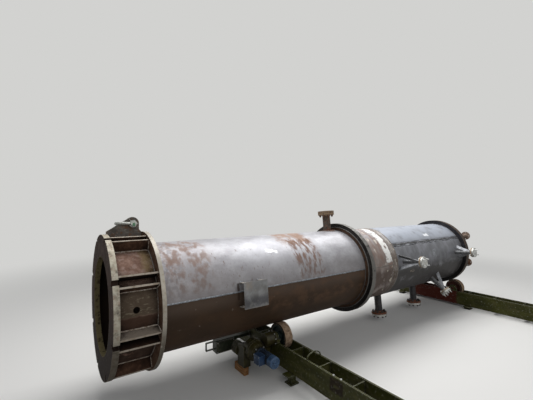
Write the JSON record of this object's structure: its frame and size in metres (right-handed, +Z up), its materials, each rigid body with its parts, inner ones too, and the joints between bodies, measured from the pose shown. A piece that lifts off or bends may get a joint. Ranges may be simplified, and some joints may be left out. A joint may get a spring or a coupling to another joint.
{
  "type": "process vessel on roller stands",
  "caption": "Long cylindrical process vessel with a skirt and anchor chairs, capped nozzles and a tailing lug, lying on a driven and an idle roller stand.",
  "frame": {"origin": "on the floor, under the middle of the vessel's length and of the stands' beams", "axes": "+X along the vessel from its base ring to its end nozzles, +Z up, -Y the side with the nozzles"},
  "size_m": [6.868, 3.8, 1.8591],
  "materials": {
    "rusty_plate": "rough rolled plate with rust",
    "ground_plate": "ground bright along its edges",
    "mill_scale": "blotchy grey mill scale with rust stains",
    "dark_scale": "dark grey mill scale",
    "rusty_scale": "mill scale gone brown with rust",
    "rusty_flange": "forged, rusted",
    "bright_flange": "machined bright",
    "galvanised": "galvanised, dull",
    "brushed_plate": "clean rolled sheet",
    "green_paint": "worn green paint",
    "olive_paint": "dirty olive paint",
    "blue_paint": "blue paint",
    "tyre_tread": "light brown tread, dusty",
    "pine": "rough sawn"
  },
  "bodies": {
    "stands": {"drive_frame": "green_paint", "idler_frame": "green_paint", "stand_feet": "green_paint", "wheel_bearings": "green_paint", "gearbox": "olive_paint", "motor": "blue_paint", "terminal_box": "blue_paint", "junction_box": "dark_scale", "timber_block": "pine"},
    "vessel": {"base_ring": "rusty_plate", "anchor_gussets": "rusty_plate", "compression_ring": "ground_plate", "skirt_course": "rusty_plate", "shell_course_1": "mill_scale", "inner_head": "dark_scale", "mid_ring": "dark_scale", "shell_course_2": "rusty_scale", "girth_band": "rusty_scale", "shell_course_3": "dark_scale", "end_ring": "dark_scale", "end_head": "dark_scale", "top_nozzle": "rusty_flange", "top_cover": "rusty_flange", "side_nozzle_1": "bright_flange", "side_nozzle_2": "bright_flange", "side_nozzle_3": "bright_flange", "side_covers": "bright_flange", "side_braces": "bright_flange", "drain_nozzles": "rusty_flange", "drain_covers": "bright_flange", "end_nozzles": "rusty_flange", "tailing_lug": "rusty_plate", "shackle_pin": "galvanised", "bracket_straps": "ground_plate", "bracket_plate": "brushed_plate", "earthing_lug": "dark_scale"},
    "shackle": {"shackle_bow": "galvanised"},
    "drive_wheel_1": {"drive_wheel_1_tyre": "tyre_tread", "drive_wheel_1_hub": "green_paint"},
    "drive_wheel_2": {"drive_wheel_2_tyre": "tyre_tread", "drive_wheel_2_hub": "green_paint"},
    "idler_wheel_1": {"idler_wheel_1_tyre": "tyre_tread", "idler_wheel_1_hub": "green_paint"},
    "idler_wheel_2": {"idler_wheel_2_tyre": "tyre_tread", "idler_wheel_2_hub": "green_paint"}
  },
  "joints": [
    {"name": "vessel_roll", "type": "hinge", "parent": "stands", "child": "vessel", "pos_m": [0, 0, 1], "axis": [1, 0, 0], "continuous": true},
    {"name": "shackle_swing", "type": "hinge", "parent": "vessel", "child": "shackle", "pos_m": [-3.144, 0.08516, 1.74746], "axis": [0, 0.9936, -0.1132], "range_deg": [0, 184]},
    {"name": "drive_wheel_1_spin", "type": "hinge", "parent": "stands", "child": "drive_wheel_1", "pos_m": [-1.554, -0.35015, 0.39352], "axis": [1, 0, 0], "continuous": true},
    {"name": "drive_wheel_2_spin", "type": "hinge", "parent": "stands", "child": "drive_wheel_2", "pos_m": [-1.554, 0.35015, 0.39352], "axis": [1, 0, 0], "continuous": true},
    {"name": "idler_wheel_1_spin", "type": "hinge", "parent": "stands", "child": "idler_wheel_1", "pos_m": [2.744, -0.38615, 0.33117], "axis": [1, 0, 0], "continuous": true},
    {"name": "idler_wheel_2_spin", "type": "hinge", "parent": "stands", "child": "idler_wheel_2", "pos_m": [2.744, 0.38615, 0.33117], "axis": [1, 0, 0], "continuous": true}
  ],
  "couplings": [
    {"joint": "drive_wheel_1_spin", "follows": "vessel_roll", "ratio": -3.6667},
    {"joint": "drive_wheel_2_spin", "follows": "vessel_roll", "ratio": -3.6667},
    {"joint": "idler_wheel_1_spin", "follows": "vessel_roll", "ratio": -4.1467},
    {"joint": "idler_wheel_2_spin", "follows": "vessel_roll", "ratio": -4.1467}
  ]
}
